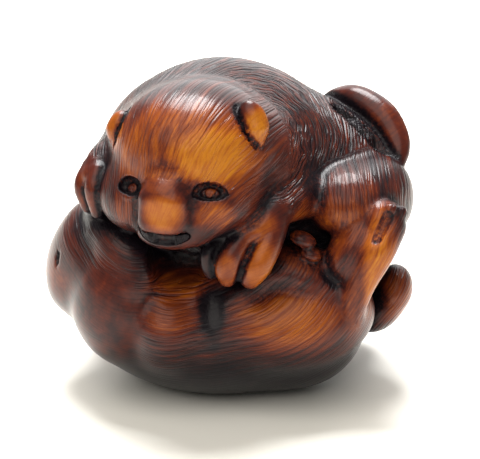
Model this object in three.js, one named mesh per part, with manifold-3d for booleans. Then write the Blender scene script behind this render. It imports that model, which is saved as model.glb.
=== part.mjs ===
// Netsuke: two puppies curled one on top of the other, carved from one block of wood.
// Millimetres. +X is to the right, -Y towards the front, +Z up.
// The origin is the middle of the flat foot the carving stands on.
import * as THREE from 'three';
import { MarchingCubes } from 'three/addons/objects/MarchingCubes.js';
import { SimplifyModifier } from 'three/addons/modifiers/SimplifyModifier.js';
import { mergeVertices } from 'three/addons/utils/BufferGeometryUtils.js';
import Module from 'manifold-3d';

// How finely the forms are sampled, and how many faces the finished solid keeps.
const CELL = 0.4;
const CELLS_ACROSS = 108;
const CUBE = 4;
const CUBE_REACH = 3;
const SAMPLE_CENTRE = [0, 0, 19];
const LEAST_DEPTH = 0.03;
const FACE_ROOM = 300000;
const FACES = 9150;
const WELD = 1e-4;

// Width of the narrow fillet where one carved form meets the next.
const SEAM = 0.45;

// Upper puppy: the head has a frame of its own, turned to look down and to the left.
const HEAD_AT = [-3.3, -7.4, 26.6];
const HEAD_TURN = [0, 0, -21];
const LEFT_EYE_AT = [-3.9, -8.45, -0.45];
const RIGHT_EYE_AT = [4.75, -8.4, -0.1];
const MOUTH_STEPS = 16;
const MOUTH_FROM = -120;
const MOUTH_TO = 98;

// Flat foot and cord holes.
const FOOT_BLOCK = 60;
const CORD_RING_AT = [-1, 12.2, 3.3];
const CORD_RING_TILT = 44;
const CORD_RING_RADIUS = 4.8;
const CORD_BORE_RADIUS = 1.6;
const CORD_MOUTH_RADIUS = 1.85;

// ---- forms: each gives the distance from a point to its surface, negative inside ----

function turned(turn) {
  const angles = turn.map(THREE.MathUtils.degToRad);
  const order = new THREE.Euler(angles[0], angles[1], angles[2], 'ZYX');
  return new THREE.Matrix4().makeRotationFromEuler(order).elements;
}

// The same form moved and turned into place.
function placed(form, at, turn = [0, 0, 0]) {
  const m = turned(turn);
  return (x, y, z) => {
    const u = x - at[0];
    const v = y - at[1];
    const w = z - at[2];
    return form(
      u * m[0] + v * m[1] + w * m[2],
      u * m[4] + v * m[5] + w * m[6],
      u * m[8] + v * m[9] + w * m[10]);
  };
}

// Egg-shaped swelling with the three half sizes given.
function lobe(at, half, turn) {
  const [a, b, c] = half;
  const egg = (x, y, z) => {
    const near = Math.hypot(x / a, y / b, z / c);
    const slope = Math.hypot(x / (a * a), y / (b * b), z / (c * c));
    return slope < 1e-9 ? -Math.min(a, b, c) : near * (near - 1) / slope;
  };
  return placed(egg, at, turn);
}

// Box with rounded edges.
function block(at, half, ease, turn) {
  const box = (x, y, z) => {
    const dx = Math.abs(x) - half[0] + ease;
    const dy = Math.abs(y) - half[1] + ease;
    const dz = Math.abs(z) - half[2] + ease;
    const outside = Math.hypot(Math.max(dx, 0), Math.max(dy, 0), Math.max(dz, 0));
    return outside + Math.min(Math.max(dx, dy, dz), 0) - ease;
  };
  return placed(box, at, turn);
}

// Round bar from one point to another, with its own radius at each end.
function limb(from, to, startRadius, endRadius) {
  const [dx, dy, dz] = to.map((value, i) => value - from[i]);
  const lengthSquared = dx * dx + dy * dy + dz * dz;
  return (x, y, z) => {
    const u = x - from[0];
    const v = y - from[1];
    const w = z - from[2];
    const along = (u * dx + v * dy + w * dz) / lengthSquared;
    const t = Math.min(Math.max(along, 0), 1);
    const radius = startRadius + (endRadius - startRadius) * t;
    return Math.hypot(u - dx * t, v - dy * t, w - dz * t) - radius;
  };
}

// Round bar that runs smoothly through a few points; each point is [x, y, z, radius].
function sweep(points, steps = 4) {
  const first = points[0].map((value, i) => 2 * value - points[1][i]);
  const end = points.length - 1;
  const last = points[end].map((value, i) => 2 * value - points[end - 1][i]);
  const knots = [first, ...points, last];
  const path = [];
  for (let span = 1; span <= end; span += 1) {
    for (let step = 0; step < steps; step += 1) {
      path.push(between(knots.slice(span - 1, span + 3), step / steps));
    }
  }
  path.push(points[end]);
  const bars = path.slice(1).map((to, i) => limb(path[i], to, path[i][3], to[3]));
  return (x, y, z) => Math.min(...bars.map((bar) => bar(x, y, z)));
}

function between(knots, t) {
  const weights = [
    -t + 2 * t * t - t ** 3,
    2 - 5 * t * t + 3 * t ** 3,
    t + 4 * t * t - 3 * t ** 3,
    -t * t + t ** 3];
  return knots[0].map((_, i) => {
    const sum = knots.reduce((total, knot, k) => total + weights[k] * knot[i], 0);
    return sum / 2;
  });
}

// Two forms run into one another over the given width.
function softMin(a, b, width) {
  const overlap = Math.max(width - Math.abs(a - b), 0) / width;
  return Math.min(a, b) - overlap * overlap * width / 4;
}

function join(width, first, ...others) {
  return others.reduce(
    (whole, form) => (x, y, z) => softMin(whole(x, y, z), form(x, y, z), width), first);
}

function carve(width, form, ...tools) {
  return tools.reduce(
    (whole, tool) => (x, y, z) => -softMin(-whole(x, y, z), tool(x, y, z), width), form);
}

// ---- upper puppy ----

function nearHaunch() {
  return join(1.6,
    lobe([12.8, -5.9, 22.4], [4.9, 5.3, 3.9], [0, -4, 0]),
    lobe([15.4, -2.6, 21.7], [4.5, 5.9, 4.9]));
}

function upperBody() {
  const back = lobe([-0.8, 3, 23.3], [13.5, 12.8, 12.2]);
  const rump = lobe([10.8, 3.6, 20.4], [8.9, 10.6, 9.5], [0, 12, 0]);
  const shoulder = lobe([-6.5, -1.5, 25.2], [7, 8.5, 8]);
  const ruff = lobe([5.7, -5, 26], [3, 5.5, 5.5], [0, -20, 0]);
  const farHaunch = lobe([10.4, 11, 17.2], [6.4, 4.8, 6.4], [0, -15, 0]);
  const trunk = join(2, join(3, join(4, back, rump), shoulder), ruff);
  return join(1.2, join(0.8, trunk, nearHaunch()), farHaunch);
}

// Moves a form from the head's frame onto the carving.
function face(form) {
  return placed(form, HEAD_AT, HEAD_TURN);
}

function skull() {
  return face(join(1.5, lobe([0, 0, 0.5], [9.3, 9.2, 8.7]), lobe([0, -2.6, 3.2], [7.2, 6.2, 5.4])));
}

// The mouth is a wide U cut round the front of the muzzle.
function mouthGroove() {
  const points = [];
  for (let i = 0; i <= MOUTH_STEPS; i += 1) {
    const swing = THREE.MathUtils.degToRad(MOUTH_FROM + (MOUTH_TO - MOUTH_FROM) * i / MOUTH_STEPS);
    const side = Math.sin(swing);
    const radius = 0.1 + 0.46 * Math.max(Math.cos(swing / 1.2), 0) ** 1.4;
    points.push([0.3 + 3.1 * side, -10.75 + 2.1 * side * side, -3.35 - 1.6 * Math.cos(swing), radius]);
  }
  return face(sweep(points, 1));
}

// An eye is an almond socket with a raised lower lid and a round boss in it.
function eyeOn(head, at, turn, width) {
  const seated = (form) => face(placed(form, at, turn));
  const socket = seated(sweep([
    [-width, 0.1, -0.3, 0.1], [-width / 2, -0.3, 0.05, 0.82],
    [width / 3, -0.3, 0.08, 0.88], [width, 0.1, -0.1, 0.1]]));
  const lid = seated(sweep([
    [-width, 0.1, -0.5, 0.1], [-0.3, 0.02, -1.12, 0.2], [width * 0.8, 0.1, -0.82, 0.1]]));
  const ball = seated(lobe([-0.05, 0.72, -0.06], [width * 0.62, 0.85, 0.7]));
  return join(0.1, carve(0.15, join(0.35, head, lid), socket), ball);
}

function muzzle() {
  return face(block([0.1, -8.15, -2.4], [2.65, 3, 2.3], 1.25, [-6, 0, 0]));
}

function headOn(body) {
  const leftCheek = face(lobe([-4.6, -4.9, -2.5], [4.2, 4.2, 3.7]));
  const rightCheek = face(lobe([4.1, -5.1, -2], [4.1, 4.3, 3.3], [0, -10, 0]));
  const chin = face(lobe([0.2, -7.2, -5], [3.9, 3.6, 1.75]));
  const rightLip = face(lobe([3.2, -7.5, -3.5], [2.5, 2.5, 2.2]));
  const bridge = face(lobe([0.1, -8.9, 0.1], [2, 1.9, 2.4], [-22, 0, 0]));
  const brow = face(lobe([0.1, -10.5, 2.1], [2.4, 0.9, 0.7]));
  let head = join(1.8, join(2.6, body, skull()), leftCheek, rightCheek);
  head = join(0.9, head, chin, rightLip, muzzle());
  head = join(1.4, head, bridge);
  head = carve(1.2, carve(0.3, head, mouthGroove()), brow);
  head = eyeOn(head, LEFT_EYE_AT, [-30, 0, -18], 1.25);
  return eyeOn(head, RIGHT_EYE_AT, [-26, 0, 15], 1.75);
}

// Drop ears: a leaf that ends in a point, with a crease cut along its inner side.
function ears() {
  const right = join(0.8,
    lobe([7.15, -2.6, 6.3], [1.5, 1.25, 2.2], [0, -24, 0]),
    limb([7.7, -3, 5.2], [8.25, -3.2, 4], 1.1, 0.3));
  const left = join(0.8,
    lobe([-7.4, -3.6, 4.5], [1.2, 1.3, 1.8], [0, 20, 0]),
    limb([-7.6, -3.8, 3.9], [-7.9, -3.9, 2.9], 1, 0.3));
  return face(join(SEAM, right, left));
}

function earCreases() {
  const right = sweep([
    [5.5, -2.3, 8.2, 0.2], [5.9, -2.9, 6.9, 0.5], [6.7, -3.5, 5.3, 0.5], [7.7, -3.6, 3.9, 0.2]]);
  const left = sweep([
    [-6.3, -3.5, 6.2, 0.2], [-6.5, -4.5, 5, 0.45], [-6.8, -5.1, 3.8, 0.45], [-7.3, -5.1, 2.8, 0.2]]);
  return face(join(SEAM, right, left));
}

function tail() {
  return sweep([
    [10.9, 10, 28.8, 1], [12, 7.6, 29.9, 1.3], [13.5, 5.5, 30.5, 1.6], [15.1, 4.2, 30.1, 1.75],
    [16.8, 2.7, 29.1, 1.75], [18, 1.2, 27.4, 1.55], [18.4, 0, 26.2, 1.2], [18.4, -1, 25.1, 0.7]]);
}

function tailGap() {
  return sweep([
    [11.6, 2, 30.1, 0.4], [13.9, 0.4, 28.8, 0.85], [16.2, -1.2, 26.9, 0.9], [18, -2.2, 24.8, 0.3]]);
}

function rightArm() {
  const wrist = sweep([[7.2, -7.5, 23.4, 2.6], [5.4, -11.2, 23.4, 2.1], [3.9, -13.3, 22.4, 1.75]]);
  return join(0.8, wrist, lobe([2.3, -13.8, 21.4], [2.5, 1.8, 1.5], [0, -22, 0]));
}

function rightToes() {
  return join(0.2,
    sweep([[4.6, -13.2, 22.2, 1.6], [4, -14.6, 20.2, 1.45], [3, -15.4, 18.2, 1.4], [2.2, -15.2, 16.8, 1.15]]),
    sweep([[1.6, -14.2, 21.2, 1.3], [0.5, -15.3, 19.7, 1.25], [-0.2, -15.5, 18, 1.3], [-0.2, -15.1, 16.8, 1]]),
    sweep([[-0.4, -12.8, 20.6, 0.8], [-2, -14, 19.4, 0.85], [-2.2, -14.1, 17.9, 0.85],
      [-1.9, -13.9, 16.9, 0.7]]));
}

function leftArm() {
  return sweep([[-12.2, -2, 25.9, 2.6], [-13.3, -5.5, 26.3, 2], [-14.1, -7.3, 25.4, 1.6]]);
}

function leftToes() {
  return join(0.2,
    sweep([[-14.8, -6.2, 26, 0.95], [-15.4, -7.2, 24.3, 1.1], [-15, -7.4, 22.2, 0.8]]),
    sweep([[-13.8, -8, 26.1, 1], [-14.1, -9, 24.4, 1.15], [-13.9, -8.8, 21.9, 0.75]]),
    sweep([[-13.1, -8.4, 25.7, 0.8], [-13.2, -9.2, 24.4, 0.85], [-13.1, -9.2, 22.7, 0.6]]));
}

// Two small toes that show in the hollow before the haunch.
function nearHindToes() {
  return join(0.2,
    lobe([7.7, -10.7, 19.5], [1.5, 1.3, 0.8], [0, 22, 0]),
    lobe([8.6, -10.8, 17.9], [1.2, 1.2, 0.7], [0, 22, 0]));
}

// Wood left standing under the left forepaw and behind the toes of the right one.
function pawRests() {
  return join(SEAM,
    lobe([-13.3, -5.2, 21.6], [2.4, 3, 2.6]),
    lobe([1, -13.1, 19], [3, 1.7, 2.3]));
}

// Hind foot on the far side, tucked under the rump, with three toes.
function farHindFoot() {
  const sole = limb([10.5, 13.4, 13.2], [4.5, 14.2, 11.8], 2.4, 2);
  const toe = (back, drop) => sweep([
    [4.2 - back, 14.8, 12.4 - drop, 0.95],
    [2 - back, 15.4, 12.2 - drop, 1.05],
    [0.4 - back, 15.2, 11.8 - drop, 0.8]]);
  return join(0.5, sole, join(0.2, toe(0, -0.9), toe(-0.2, 0.9), toe(0.5, 2.6)));
}

// ---- lower puppy ----

function leftBulge() {
  return join(1.5,
    lobe([-11.6, -6.2, 11.2], [5.6, 7.4, 6.8], [0, 0, 12]),
    lobe([-12.2, -6.4, 15], [3.8, 6.4, 5.4], [0, 14, 14]),
    sweep([[-13.4, -7.6, 19.4, 1.6], [-11.4, -9.6, 18.4, 2], [-9.9, -10.4, 17, 1.9],
      [-9.8, -10.8, 15, 1.7]]));
}

// Ridge of fur over the right bulge, and the slope that climbs behind it.
function crest() {
  const ridge = sweep([
    [1.4, -12, 13.8, 0.8], [3.5, -11.5, 15.2, 1.1], [5.8, -11.3, 15.8, 1.2],
    [8.4, -11.6, 15.1, 1.1], [10.8, -11.8, 13.9, 0.8]]);
  return join(1.5, ridge, lobe([6.4, -8.9, 16], [4.8, 3, 2.4]));
}

function lowerBody() {
  const belly = lobe([-1, 0.3, 9], [16.2, 14.6, 9.9]);
  const rightBulge = lobe([5.9, -6.8, 9.7], [9.8, 8.8, 6], [0, -6, -8]);
  const middle = lobe([-6.4, -8.6, 9.4], [4.6, 6.6, 5.3]);
  const loin = lobe([6.6, -2.4, 7.2], [8.2, 9.4, 7]);
  const leftFlank = join(2.5,
    lobe([-16.9, 0, 12.2], [3.4, 6, 4.4], [0, 8, 0]),
    lobe([-15.1, -1.5, 16.4], [3.8, 6.5, 5], [0, 30, 0]));
  const farThigh = lobe([12.2, 8.6, 8.2], [5.2, 5.4, 5], [0, -20, 0]);
  let body = join(0.9, join(1.6, belly, leftBulge(), loin), rightBulge, middle);
  body = join(1.2, join(2, body, leftFlank), farThigh, crest());
  const cleft = sweep([
    [-1.2, -12.4, 16, 1.9], [-1.9, -13.2, 14.2, 1.5], [-1.8, -14.7, 11.8, 1.2], [-1.6, -15.4, 9.8, 0.8]]);
  const chestHollow = lobe([-5, -11, 17.5], [3.5, 4.6, 2.9]);
  const flankLip = sweep([[-16.2, -5.6, 18.4, 0.5], [-16.6, -5.9, 16.6, 0.55], [-17, -5.8, 15.2, 0.5]]);
  const flankNotch = sweep([[-17.2, -4.9, 17.4, 0.35], [-17.9, -5, 15.9, 0.5], [-17.8, -5, 15.1, 0.3]]);
  body = join(0.6, carve(0.8, body, cleft, chestHollow), flankLip);
  return carve(0.3, body, flankNotch);
}

// The lower puppy's head rests at the back, at the left.
function lowerHead() {
  return join(1.8,
    lobe([-11.4, 9.2, 12.6], [6.6, 6.2, 5.8]),
    lobe([-6.6, 12.6, 9.6], [3.4, 2.8, 2.6], [0, 0, 35]));
}

function lowerEar() {
  return lobe([-14.2, 12.9, 14.6], [2.6, 1.1, 1.5], [0, 35, 35]);
}

// Hind leg of the lower puppy, raised at the right with its foot against the haunch above.
function raisedLeg() {
  const shin = sweep([
    [10.2, -10.2, 7.8, 1.7], [12.2, -11.3, 11.6, 1.9], [13.8, -11.8, 15.1, 1.65],
    [15.5, -12, 18.5, 1.8], [16.8, -11, 20.8, 1.7]]);
  const thigh = lobe([13.2, -9.7, 18], [2.7, 3, 4.4], [0, 28, 0]);
  const foot = join(0.3,
    lobe([16.2, -10.4, 21.6], [2.2, 1.9, 1.9], [0, -25, 0]),
    lobe([16.8, -11.5, 23], [0.75, 0.7, 0.7]),
    lobe([17.9, -11, 22.5], [0.7, 0.8, 0.75]));
  const padSlot = limb([15.3, -13.05, 20.2], [16.45, -12.2, 22.4], 0.45, 0.52);
  return carve(0.3, join(0.7, shin, thigh, foot), padSlot);
}

function rearFoot() {
  return join(1,
    lobe([17.9, -1, 10.4], [2.2, 3.4, 2.9], [0, 20, 0]),
    lobe([16.2, 0, 8.1], [3.2, 3.8, 2.5], [0, -35, 0]));
}

// Hollows between the two puppies.
function hollowUnderChin() {
  return join(1.5,
    lobe([-4.4, -14.6, 17.6], [4.2, 6.9, 2.6], [0, 4, 0]),
    lobe([-4.4, -17.5, 17.4], [3.8, 5, 2.4], [0, 4, 0]));
}

function hollowBeforeHaunch() {
  return lobe([8.2, -14.3, 21], [4.6, 3.5, 4.9]);
}

// ---- the whole carving ----

function carving() {
  let whole = join(SEAM, headOn(upperBody()), lowerBody(), lowerHead());
  whole = carve(1, whole, hollowBeforeHaunch());
  whole = carve(SEAM, whole, hollowUnderChin(), tailGap());
  whole = join(1, whole, rightArm(), leftArm(), pawRests());
  whole = carve(SEAM, whole, earCreases());
  whole = join(0.9, whole, raisedLeg());
  whole = join(SEAM, whole, tail(), ears(), lowerEar(), rearFoot(), farHindFoot());
  return join(SEAM, whole, rightToes(), leftToes(), nearHindToes());
}

// Fills one small cube of the grid with the depth below the surface at each of its points.
function fillCube(depths, form, corner) {
  const half = CELLS_ACROSS / 2;
  const spot = (n, axis) => SAMPLE_CENTRE[axis] + (n - half) * CELL;
  const middle = CUBE / 2;
  const atMiddle = form(...corner.map((n, axis) => spot(n + middle, axis)));
  const far = Math.abs(atMiddle) > CUBE_REACH;
  const [i, j, k] = corner;
  for (let w = k; w < k + CUBE; w += 1) {
    for (let v = j; v < j + CUBE; v += 1) {
      for (let u = i; u < i + CUBE; u += 1) {
        const level = far ? atMiddle : form(spot(u, 0), spot(v, 1), spot(w, 2));
        depths[u + CELLS_ACROSS * (v + CELLS_ACROSS * w)] = -level;
      }
    }
  }
}

// Depth below the surface on a cubic grid; far from the surface one sample serves a whole cube.
function sampled(form) {
  const depths = new Float32Array(CELLS_ACROSS ** 3);
  for (let k = 0; k < CELLS_ACROSS; k += CUBE) {
    for (let j = 0; j < CELLS_ACROSS; j += CUBE) {
      for (let i = 0; i < CELLS_ACROSS; i += CUBE) {
        fillCube(depths, form, [i, j, k]);
      }
    }
  }
  return depths;
}

// Rounds the creases to what the grid can carry: each sample takes a share of its neighbours.
function eased(depths) {
  const layer = CELLS_ACROSS ** 2;
  let before = depths;
  for (const step of [1, CELLS_ACROSS, layer]) {
    const after = before.slice();
    for (let i = layer; i < after.length - layer; i += 1) {
      after[i] = before[i] / 2 + (before[i - step] + before[i + step]) / 4;
    }
    before = after;
  }
  return before;
}

// Surface of a form, found by marching through a grid of samples.
function surfaceOf(form) {
  const cubes = new MarchingCubes(
    CELLS_ACROSS, new THREE.MeshBasicMaterial(), false, false, FACE_ROOM);
  cubes.isolation = 0;
  eased(sampled(form)).forEach((depth, i) => {
    const away = Math.max(Math.abs(depth), LEAST_DEPTH);
    cubes.field[i] = depth < 0 ? -away : away;
  });
  cubes.update();
  const used = cubes.geometry.drawRange.count * 3;
  const positions = cubes.geometry.attributes.position.array.slice(0, used);
  const reach = CELL * CELLS_ACROSS / 2;
  const skin = new THREE.BufferGeometry();
  skin.setAttribute('position', new THREE.BufferAttribute(positions, 3));
  skin.scale(reach, reach, reach);
  skin.translate(...SAMPLE_CENTRE);
  return mergeVertices(skin, WELD);
}

// The wood is solid: any pocket sealed in between the forms is left out, and the outer skin kept.
function outerSkin(skin) {
  const corners = skin.index.array;
  const leader = Uint32Array.from({ length: skin.attributes.position.count }, (_, i) => i);
  const leaderOf = (vertex) => {
    let top = vertex;
    while (leader[top] !== top) {
      leader[top] = leader[leader[top]];
      top = leader[top];
    }
    return top;
  };
  for (let i = 0; i < corners.length; i += 3) {
    leader[leaderOf(corners[i + 1])] = leaderOf(corners[i]);
    leader[leaderOf(corners[i + 2])] = leaderOf(corners[i]);
  }
  const counts = new Map();
  corners.forEach((vertex) => {
    const top = leaderOf(vertex);
    counts.set(top, (counts.get(top) ?? 0) + 1);
  });
  const outer = [...counts].reduce((most, entry) => (entry[1] > most[1] ? entry : most))[0];
  const kept = skin.clone();
  kept.setIndex([...corners].filter((vertex) => leaderOf(vertex) === outer));
  return mergeVertices(kept.toNonIndexed(), WELD);
}

// Keeps the forms and drops the faces that don't carry any.
async function simplified(skin) {
  const faces = skin.index.count / 3;
  const spare = skin.attributes.position.count * (1 - FACES / faces);
  return new SimplifyModifier().modify(skin, Math.max(0, Math.round(spare)));
}

const wasm = await Module();
wasm.setup();

function toSolid(geometry) {
  const flat = geometry.clone();
  flat.deleteAttribute('normal');
  flat.deleteAttribute('uv');
  const welded = mergeVertices(flat, WELD);
  const mesh = new wasm.Mesh({
    numProp: 3,
    vertProperties: Float32Array.from(welded.attributes.position.array),
    triVerts: Uint32Array.from(welded.index.array),
  });
  mesh.merge();
  return new wasm.Manifold(mesh);
}

function toGeometry(solid) {
  const mesh = solid.getMesh();
  const geometry = new THREE.BufferGeometry();
  geometry.setAttribute('position', new THREE.BufferAttribute(mesh.vertProperties, 3));
  geometry.setIndex(new THREE.BufferAttribute(mesh.triVerts, 1));
  geometry.computeVertexNormals();
  return geometry;
}

// Everything below the foot is cut away flat.
function groundBlock() {
  const box = new THREE.BoxGeometry(FOOT_BLOCK, FOOT_BLOCK, FOOT_BLOCK);
  box.translate(0, 0, -FOOT_BLOCK / 2);
  return toSolid(box);
}

// Cord tunnel: a ring half sunk in the lower back, so its two mouths are side by side.
function cordTunnel() {
  const ring = new THREE.TorusGeometry(CORD_RING_RADIUS, CORD_BORE_RADIUS, 12, 36);
  const mouth = new THREE.SphereGeometry(CORD_MOUTH_RADIUS, 16, 10);
  mouth.translate(CORD_RING_RADIUS, 0, 0);
  const place = new THREE.Matrix4().makeRotationX(-THREE.MathUtils.degToRad(CORD_RING_TILT));
  place.setPosition(...CORD_RING_AT);
  return toSolid(ring.applyMatrix4(place)).add(toSolid(mouth.applyMatrix4(place)));
}

const skin = await simplified(outerSkin(surfaceOf(carving())));
const puppies = toSolid(skin).subtract(groundBlock()).subtract(cordTunnel());

const stainedWood = new THREE.MeshStandardMaterial({
  name: 'stained boxwood',
  color: new THREE.Color('#6b3413'),
  roughness: 0.3,
  metalness: 0,
});

const netsuke = new THREE.Group();
netsuke.name = 'netsuke';
const mesh = new THREE.Mesh(toGeometry(puppies), stainedWood);
mesh.name = 'puppies';
netsuke.add(mesh);

export default netsuke;
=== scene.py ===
import math

import bpy
import numpy as np
from mathutils import Euler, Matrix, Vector, noise


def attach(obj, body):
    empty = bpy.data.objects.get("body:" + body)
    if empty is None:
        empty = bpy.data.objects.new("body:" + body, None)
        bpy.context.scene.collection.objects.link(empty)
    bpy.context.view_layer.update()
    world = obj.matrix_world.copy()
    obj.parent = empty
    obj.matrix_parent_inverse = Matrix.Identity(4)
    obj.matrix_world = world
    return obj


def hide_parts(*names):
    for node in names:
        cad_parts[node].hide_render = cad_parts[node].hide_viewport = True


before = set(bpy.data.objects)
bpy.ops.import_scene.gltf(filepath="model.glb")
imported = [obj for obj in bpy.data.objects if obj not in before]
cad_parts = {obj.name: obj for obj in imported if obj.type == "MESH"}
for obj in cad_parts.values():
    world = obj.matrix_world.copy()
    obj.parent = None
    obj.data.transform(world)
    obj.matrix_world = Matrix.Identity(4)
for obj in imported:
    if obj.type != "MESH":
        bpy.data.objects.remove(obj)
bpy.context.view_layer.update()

# A netsuke of two puppies, carved from one block of boxwood, stained and polished.
# The clay below is in millimetres in the row frame: +X right, -Y front, +Z up, foot at z = 0.
MM = 0.001

# How finely the carving is cut.
VOXEL = 0.345
SEAM = 0.3

# The upper puppy's head has its own frame, turned to look to the left.
HEAD_AT = (-3.3, -7.4, 26.6)
HEAD_TURN = (0, 0, -21)

LEFT_EYE_AT = (-3.9, -8.45, -0.45)
RIGHT_EYE_AT = (4.75, -8.4, -0.1)

# The mouth groove swings round the muzzle, in degrees from the middle.
MOUTH_STEPS = 16
MOUTH_FROM = -120
MOUTH_TO = 98

# Cord tunnel, low on the back. The clay isn't cut through: only its two mouths show, as shallow dents.
CORD_RING_AT = (-1, 12.2, 3.3)
CORD_RING_TILT = -44
CORD_RING_RADIUS = 4.8
CORD_BORE_RADIUS = 1.6
CORD_MOUTH_RADIUS = 1.85


# ---- clay forms: each knows its distance field and the rough lump it starts as ----

FAR = 60.0
REACH = 4.5


def turned(turn):
    return np.array(Euler([math.radians(a) for a in turn]).to_matrix())


class Form:
    """A distance field near its own middle; far from it the field is just a large number."""

    def __init__(self, field, middle, radius, lumps):
        self.field = field
        self.middle = np.array(middle, float)
        self.radius = radius
        self.lumps = lumps

    def __call__(self, points):
        near = np.linalg.norm(points - self.middle, axis=1) < self.radius + REACH
        result = np.full(len(points), FAR)
        if near.any():
            result[near] = self.field(points[near])
        return result


def lobe(at, half, turn=(0, 0, 0)):
    """Egg-shaped swelling with three half sizes."""
    spin = turned(turn)
    at = np.array(at, float)
    half = np.array(half, float)

    def field(points):
        local = (points - at) @ spin
        near = np.linalg.norm(local / half, axis=1)
        slope = np.linalg.norm(local / half ** 2, axis=1)
        return near * (near - 1) / np.maximum(slope, 1e-6)
    return Form(field, at, half.max(), [(at, half, spin)])


def block(at, half, ease, turn=(0, 0, 0)):
    """Box with rounded edges."""
    spin = turned(turn)
    at = np.array(at, float)
    half = np.array(half, float)

    def field(points):
        local = np.abs((points - at) @ spin) - half + ease
        outside = np.linalg.norm(np.maximum(local, 0), axis=1)
        return outside + np.minimum(local.max(axis=1), 0) - ease
    return Form(field, at, np.linalg.norm(half), [(at, half, spin)])


def limb(start, end, start_radius, end_radius):
    """Round bar with its own radius at each end."""
    start = np.array(start, float)
    run = np.array(end, float) - start

    def field(points):
        local = points - start
        along = np.clip(local @ run / (run @ run), 0, 1)
        radius = start_radius + (end_radius - start_radius) * along
        return np.linalg.norm(local - along[:, None] * run, axis=1) - radius
    middle = start + run / 2
    reach = np.linalg.norm(run) / 2 + max(start_radius, end_radius)
    balls = [(start + run * t, np.full(3, start_radius + (end_radius - start_radius) * t), np.eye(3))
             for t in (0, 0.5, 1)]
    return Form(field, middle, reach, balls)


def between(knots, t):
    weights = (-t + 2 * t * t - t ** 3, 2 - 5 * t * t + 3 * t ** 3,
               t + 4 * t * t - 3 * t ** 3, -t * t + t ** 3)
    return sum(w * k for w, k in zip(weights, knots)) / 2


def sweep(points, steps=4):
    """Round bar that runs smoothly through points of x, y, z and radius."""
    knots = [np.array(p, float) for p in points]
    knots = [2 * knots[0] - knots[1]] + knots + [2 * knots[-1] - knots[-2]]
    path = [between(knots[span:span + 4], step / steps)
            for span in range(len(points) - 1) for step in range(steps)]
    path.append(knots[-2])
    bars = [limb(a[:3], b[:3], a[3], b[3]) for a, b in zip(path, path[1:])]
    spots = np.array([p[:3] for p in path])
    middle = (spots.min(axis=0) + spots.max(axis=0)) / 2
    reach = max(np.linalg.norm(p[:3] - middle) + p[3] for p in path)
    return Form(lambda q: np.min([bar(q) for bar in bars], axis=0), middle, reach,
                [lump for bar in bars for lump in bar.lumps])


def placed(form, at, turn=(0, 0, 0)):
    """The same form moved and turned into place."""
    spin = turned(turn)
    at = np.array(at, float)
    lumps = [(at + spin @ middle, half, spin @ own) for middle, half, own in form.lumps]
    return Form(lambda q: form((q - at) @ spin), at + spin @ form.middle, form.radius, lumps)


def soft_min(a, b, width):
    overlap = np.maximum(width - np.abs(a - b), 0) / width
    return np.minimum(a, b) - overlap * overlap * width / 4


def spanning(forms):
    low = np.min([f.middle - f.radius for f in forms], axis=0)
    high = np.max([f.middle + f.radius for f in forms], axis=0)
    return (low + high) / 2, np.linalg.norm(high - low) / 2


def join(width, *forms):
    """Forms that run into one another over the given width."""
    def field(points):
        whole = forms[0](points)
        for form in forms[1:]:
            whole = soft_min(whole, form(points), width)
        return whole
    return Form(field, *spanning(forms), [lump for form in forms for lump in form.lumps])


def carve(width, form, *tools):
    """Cuts tools into a form. The rough lumps stay whole, so a cut can't open a way right through."""
    def field(points):
        whole = form(points)
        for tool in tools:
            whole = -soft_min(-whole, tool(points), width)
        return whole
    return Form(field, form.middle, form.radius, form.lumps)


def ring(at, turn, radius, thickness):
    """Closed round ring, flat in its own XY plane."""
    spin = turned(turn)
    at = np.array(at, float)

    def field(points):
        local = (points - at) @ spin
        around = np.hypot(local[:, 0], local[:, 1]) - radius
        return np.hypot(around, local[:, 2]) - thickness
    return Form(field, at, radius + thickness, [])


# ---- the upper puppy ----

def upper_body():
    back = lobe((-0.8, 3, 23.3), (13.5, 12.8, 12.2))
    rump = lobe((10.8, 3.6, 20.4), (8.9, 10.6, 9.5), (0, 12, 0))
    shoulder = lobe((-6.5, -1.5, 25.2), (7, 8.5, 8))
    ruff = lobe((5.7, -5, 26), (3, 5.5, 5.5), (0, -20, 0))
    far_haunch = lobe((10.4, 11, 17.2), (6.4, 4.8, 6.4), (0, -15, 0))
    trunk = join(2, join(3, join(4, back, rump), shoulder), ruff)
    return join(1.2, join(0.8, trunk, near_haunch()), far_haunch)


def near_haunch():
    return join(1.6, lobe((12.8, -5.9, 22.4), (4.9, 5.3, 3.9), (0, -4, 0)),
                lobe((15.4, -2.6, 21.7), (4.5, 5.9, 4.9)))


def face(form):
    return placed(form, HEAD_AT, HEAD_TURN)


def skull():
    return face(join(1.5, lobe((0, 0, 0.5), (9.3, 9.2, 8.7)), lobe((0, -2.6, 3.2), (7.2, 6.2, 5.4))))


def mouth_groove():
    """A wide U cut round the front of the muzzle."""
    points = []
    for i in range(MOUTH_STEPS + 1):
        swing = math.radians(MOUTH_FROM + (MOUTH_TO - MOUTH_FROM) * i / MOUTH_STEPS)
        side = math.sin(swing)
        radius = 0.1 + 0.46 * max(math.cos(swing / 1.2), 0) ** 1.4
        points.append((0.3 + 3.1 * side, -10.75 + 2.1 * side * side, -3.35 - 1.6 * math.cos(swing), radius))
    return face(sweep(points, 1))


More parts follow.
